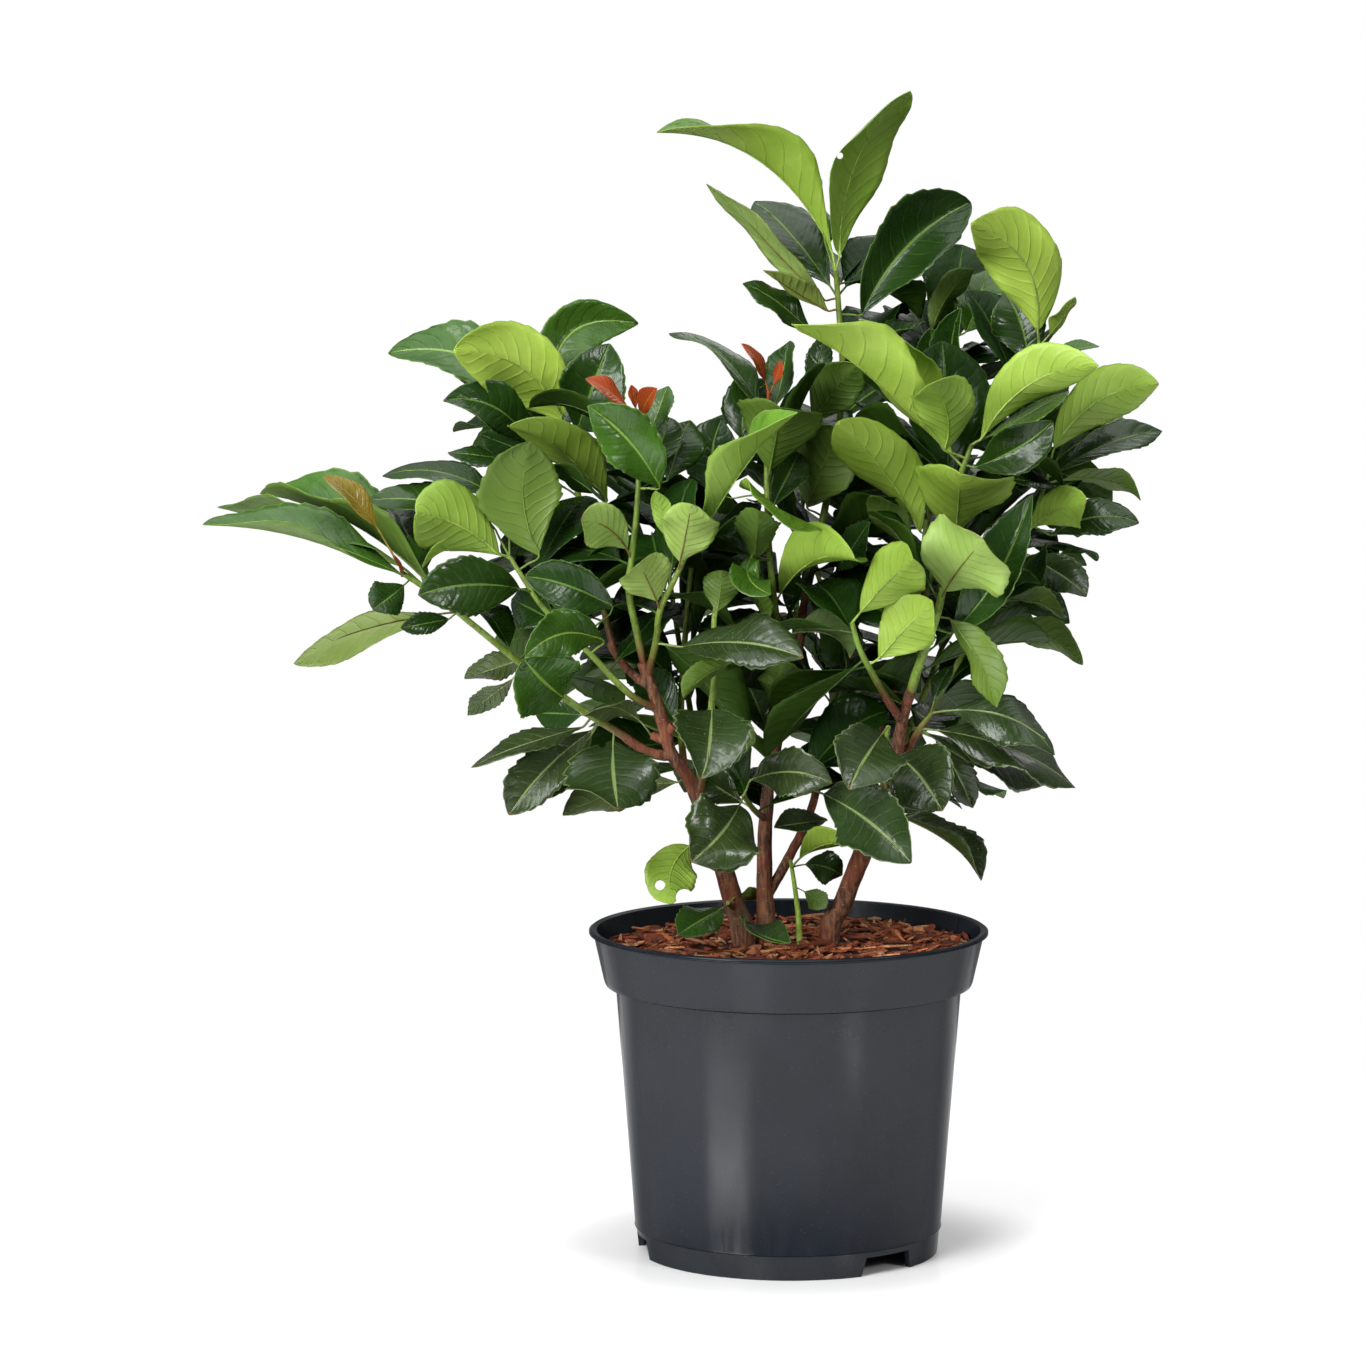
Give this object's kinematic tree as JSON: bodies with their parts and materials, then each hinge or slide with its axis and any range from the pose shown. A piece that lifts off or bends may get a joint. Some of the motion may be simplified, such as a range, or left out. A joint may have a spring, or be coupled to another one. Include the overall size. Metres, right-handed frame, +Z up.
{
  "type": "potted cherry laurel",
  "caption": "Bushy evergreen shrub with broad glossy leaves and a few red young leaves, growing in a dark plastic nursery pot topped with bark mulch.",
  "frame": {"origin": "centre of the pot's foot, on the surface that it stands on", "axes": "+Z up, -Y towards the front as pictured, +X to the right seen from the front"},
  "size_m": [0.5435, 0.298, 0.6689],
  "materials": {
    "bark_mulch": "shredded red-brown bark, matt",
    "basal_sprout": "green leaves on a green stem, glossy above and satin below",
    "compost": "dark damp compost, matt",
    "foot_leaves": "green leaves on a green stem, glossy above and satin below",
    "leaf_centre_back": "green leaves on a green stem, glossy above and satin below",
    "leaf_centre_low": "green leaves on a green stem, glossy above and satin below",
    "leaf_centre_upright": "green leaves on a green stem, glossy above and satin below",
    "leaf_low_left": "green leaves on a green stem, glossy above and satin below",
    "leaf_mid_left": "green leaves on a green stem, glossy above and satin below",
    "leaf_right_low": "green leaves on a green stem, glossy above and satin below",
    "leaf_upper_left": "green leaves on a green stem, glossy above and satin below",
    "pot": "dark blue-grey moulded plastic, semi-gloss",
    "shoot_back_left": "green leaves on a green stem, glossy above and satin below",
    "shoot_centre": "green leaves on a green stem, glossy above and satin below",
    "shoot_far_left": "green leaves on a green stem, glossy above and satin below",
    "shoot_inner": "green leaves on a green stem, glossy above and satin below",
    "shoot_left_front": "green leaves on a green stem, glossy above and satin below",
    "shoot_left_low": "green leaves on a green stem, glossy above and satin below",
    "shoot_left_red": "green leaves on a green stem, glossy above and satin below",
    "shoot_left_top": "green leaves on a green stem, glossy above and satin below",
    "shoot_rear_centre": "green leaves on a green stem, glossy above and satin below",
    "shoot_rear_left": "green leaves on a green stem, glossy above and satin below",
    "shoot_rear_right": "green leaves on a green stem, glossy above and satin below",
    "shoot_right": "green leaves on a green stem, glossy above and satin below",
    "shoot_right_back": "green leaves on a green stem, glossy above and satin below",
    "shoot_right_front": "green leaves on a green stem, glossy above and satin below",
    "shoot_right_front_low": "green leaves on a green stem, glossy above and satin below",
    "shoot_right_main": "green leaves on a green stem, glossy above and satin below",
    "shoot_right_top": "green leaves on a green stem, glossy above and satin below",
    "shoot_top": "green leaves on a green stem, glossy above and satin below",
    "spur_back": "green leaves on a green stem, glossy above and satin below",
    "spur_centre_low": "green leaves on a green stem, glossy above and satin below",
    "spur_centre_right": "green leaves on a green stem, glossy above and satin below",
    "spur_right": "green leaves on a green stem, glossy above and satin below",
    "spur_right_low": "green leaves on a green stem, glossy above and satin below",
    "trunk_centre": "brown bark, matt",
    "trunk_left": "brown bark, matt",
    "trunk_right": "brown bark, matt",
    "young_centre": "young red or orange leaves, satin",
    "young_far_left": "young red or orange leaves, satin",
    "young_left": "young red or orange leaves, satin"
  },
  "bodies": {
    "root": {"bark_mulch": "bark_mulch", "basal_sprout": "basal_sprout", "compost": "compost", "foot_leaves": "foot_leaves", "leaf_centre_back": "leaf_centre_back", "leaf_centre_low": "leaf_centre_low", "leaf_centre_upright": "leaf_centre_upright", "leaf_low_left": "leaf_low_left", "leaf_mid_left": "leaf_mid_left", "leaf_right_low": "leaf_right_low", "leaf_upper_left": "leaf_upper_left", "pot": "pot", "shoot_back_left": "shoot_back_left", "shoot_centre": "shoot_centre", "shoot_far_left": "shoot_far_left", "shoot_inner": "shoot_inner", "shoot_left_front": "shoot_left_front", "shoot_left_low": "shoot_left_low", "shoot_left_red": "shoot_left_red", "shoot_left_top": "shoot_left_top", "shoot_rear_centre": "shoot_rear_centre", "shoot_rear_left": "shoot_rear_left", "shoot_rear_right": "shoot_rear_right", "shoot_right": "shoot_right", "shoot_right_back": "shoot_right_back", "shoot_right_front": "shoot_right_front", "shoot_right_front_low": "shoot_right_front_low", "shoot_right_main": "shoot_right_main", "shoot_right_top": "shoot_right_top", "shoot_top": "shoot_top", "spur_back": "spur_back", "spur_centre_low": "spur_centre_low", "spur_centre_right": "spur_centre_right", "spur_right": "spur_right", "spur_right_low": "spur_right_low", "trunk_centre": "trunk_centre", "trunk_left": "trunk_left", "trunk_right": "trunk_right", "young_centre": "young_centre", "young_far_left": "young_far_left", "young_left": "young_left"}
  },
  "joints": []
}
